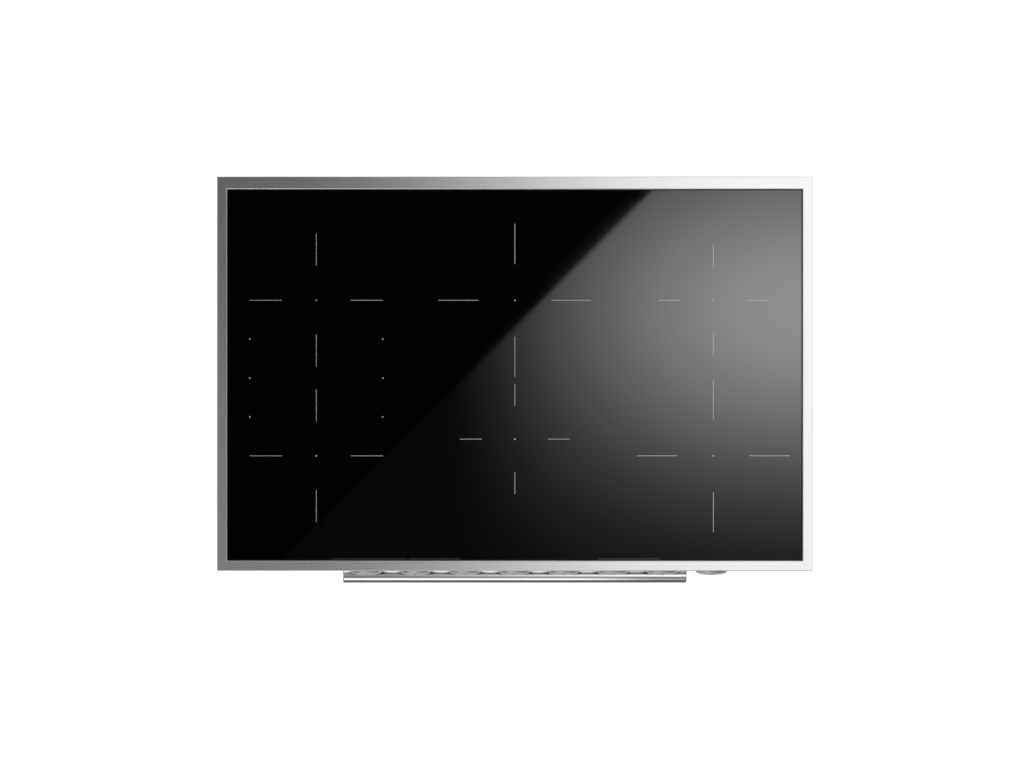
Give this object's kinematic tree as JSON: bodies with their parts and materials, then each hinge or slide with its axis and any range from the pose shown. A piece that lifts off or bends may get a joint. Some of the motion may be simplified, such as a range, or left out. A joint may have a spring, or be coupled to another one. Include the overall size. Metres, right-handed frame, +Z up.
{
  "type": "induction cooktop",
  "caption": "Drop-in electric induction cooktop: black glass in a steel frame, printed zones, row of control knobs and a hand rail in front.",
  "frame": {"origin": "middle of the steel top frame in plan, on the underside of the base pan", "axes": "+X to the user's right, +Y towards the back wall, +Z up; the control panel faces -Y"},
  "size_m": [0.9, 0.6175, 0.19],
  "materials": {
    "frame_steel": "fine brushed stainless",
    "black_glass": "polished black glass-ceramic",
    "silicone": "matt black sealant",
    "enamel_print": "fired light grey print",
    "litz_copper": null,
    "carrier_plastic": "moulded heat-resistant plastic",
    "ferrite": "sintered dark grey ferrite",
    "mica": "pressed mica sheet",
    "sensor_ceramic": "white sensor housing",
    "spring_steel": "bright spring steel",
    "tray_aluminium": "mill finish",
    "galvanised_steel": "galvanised sheet",
    "panel_steel": "brushed stainless along the panel",
    "smoked_lens": "smoked gloss",
    "knob_alloy": "turned satin metal",
    "shaft_steel": "ground steel",
    "bezel_metal": "satin metal ring",
    "encoder_plastic": "black moulding",
    "circuit_board": "green solder mask",
    "rail_steel": "polished stainless",
    "screw_steel": "zinc-plated steel",
    "sink_aluminium": "extruded aluminium",
    "capacitor_film": "moulded film capacitor cases",
    "post_nylon": "natural nylon",
    "fan_plastic": "black moulding",
    "choke_copper": null,
    "terminal_plastic": "ivory moulding",
    "gland_nylon": "black nylon"
  },
  "bodies": {
    "chassis": {"top_frame": "frame_steel", "glass_top": "black_glass", "glass_seal": "silicone", "zone_print": "enamel_print", "coil_back_left": "litz_copper", "coil_front_left": "litz_copper", "coil_back_centre": "litz_copper", "coil_front_centre": "litz_copper", "coil_back_right": "litz_copper", "coil_front_right": "litz_copper", "coil_carrier_back_left": "carrier_plastic", "coil_carrier_front_left": "carrier_plastic", "coil_carrier_back_centre": "carrier_plastic", "coil_carrier_front_centre": "carrier_plastic", "coil_carrier_back_right": "carrier_plastic", "coil_carrier_front_right": "carrier_plastic", "ferrite_bars": "ferrite", "mica_discs": "mica", "coil_sensors": "sensor_ceramic", "coil_springs": "spring_steel", "coil_tray": "tray_aluminium", "bottom_pan": "galvanised_steel", "side_springs": "spring_steel", "control_panel": "panel_steel", "display_window": "smoked_lens", "knob_bezels": "bezel_metal", "encoder_bodies": "encoder_plastic", "control_board": "circuit_board", "rail_tube": "rail_steel", "rail_end_caps": "rail_steel", "rail_posts": "rail_steel", "rail_screws": "screw_steel", "power_boards": "circuit_board", "heat_sinks": "sink_aluminium", "board_capacitors": "capacitor_film", "board_posts": "post_nylon", "fan_frames": "fan_plastic", "filter_board": "circuit_board", "filter_chokes": "choke_copper", "terminal_block": "terminal_plastic", "cable_gland": "gland_nylon", "case_screws": "screw_steel"},
    "knob_body_1": {"knob_1": "knob_alloy", "knob_shaft_1": "shaft_steel"},
    "knob_body_2": {"knob_2": "knob_alloy", "knob_shaft_2": "shaft_steel"},
    "knob_body_3": {"knob_3": "knob_alloy", "knob_shaft_3": "shaft_steel"},
    "knob_body_4": {"knob_4": "knob_alloy", "knob_shaft_4": "shaft_steel"},
    "knob_body_5": {"knob_5": "knob_alloy", "knob_shaft_5": "shaft_steel"},
    "knob_body_6": {"knob_6": "knob_alloy", "knob_shaft_6": "shaft_steel"},
    "knob_body_7": {"knob_7": "knob_alloy", "knob_shaft_7": "shaft_steel"},
    "knob_body_8": {"knob_8": "knob_alloy", "knob_shaft_8": "shaft_steel"},
    "fan_left": {"fan_impeller_left": "fan_plastic"},
    "fan_right": {"fan_impeller_right": "fan_plastic"}
  },
  "joints": [
    {"name": "knob_turn_1", "type": "hinge", "parent": "chassis", "child": "knob_body_1", "pos_m": [-0.226, -0.26, 0.114], "axis": [0, 1, 0], "range_deg": [0, 280]},
    {"name": "knob_turn_2", "type": "hinge", "parent": "chassis", "child": "knob_body_2", "pos_m": [-0.151, -0.26, 0.114], "axis": [0, 1, 0], "range_deg": [0, 280]},
    {"name": "knob_turn_3", "type": "hinge", "parent": "chassis", "child": "knob_body_3", "pos_m": [-0.076, -0.26, 0.114], "axis": [0, 1, 0], "range_deg": [0, 280]},
    {"name": "knob_turn_4", "type": "hinge", "parent": "chassis", "child": "knob_body_4", "pos_m": [-0.001, -0.26, 0.114], "axis": [0, 1, 0], "range_deg": [0, 280]},
    {"name": "knob_turn_5", "type": "hinge", "parent": "chassis", "child": "knob_body_5", "pos_m": [0.074, -0.26, 0.114], "axis": [0, 1, 0], "range_deg": [0, 280]},
    {"name": "knob_turn_6", "type": "hinge", "parent": "chassis", "child": "knob_body_6", "pos_m": [0.149, -0.26, 0.114], "axis": [0, 1, 0], "range_deg": [0, 280]},
    {"name": "knob_turn_7", "type": "hinge", "parent": "chassis", "child": "knob_body_7", "pos_m": [0.224, -0.26, 0.114], "axis": [0, 1, 0], "range_deg": [0, 280]},
    {"name": "knob_turn_8", "type": "hinge", "parent": "chassis", "child": "knob_body_8", "pos_m": [0.299, -0.26, 0.114], "axis": [0, 1, 0], "range_deg": [0, 280]},
    {"name": "fan_spin_left", "type": "hinge", "parent": "chassis", "child": "fan_left", "pos_m": [-0.14, -0.09, 0.0472], "axis": [0, 1, 0], "continuous": true},
    {"name": "fan_spin_right", "type": "hinge", "parent": "chassis", "child": "fan_right", "pos_m": [0.14, -0.09, 0.0472], "axis": [0, 1, 0], "continuous": true}
  ]
}
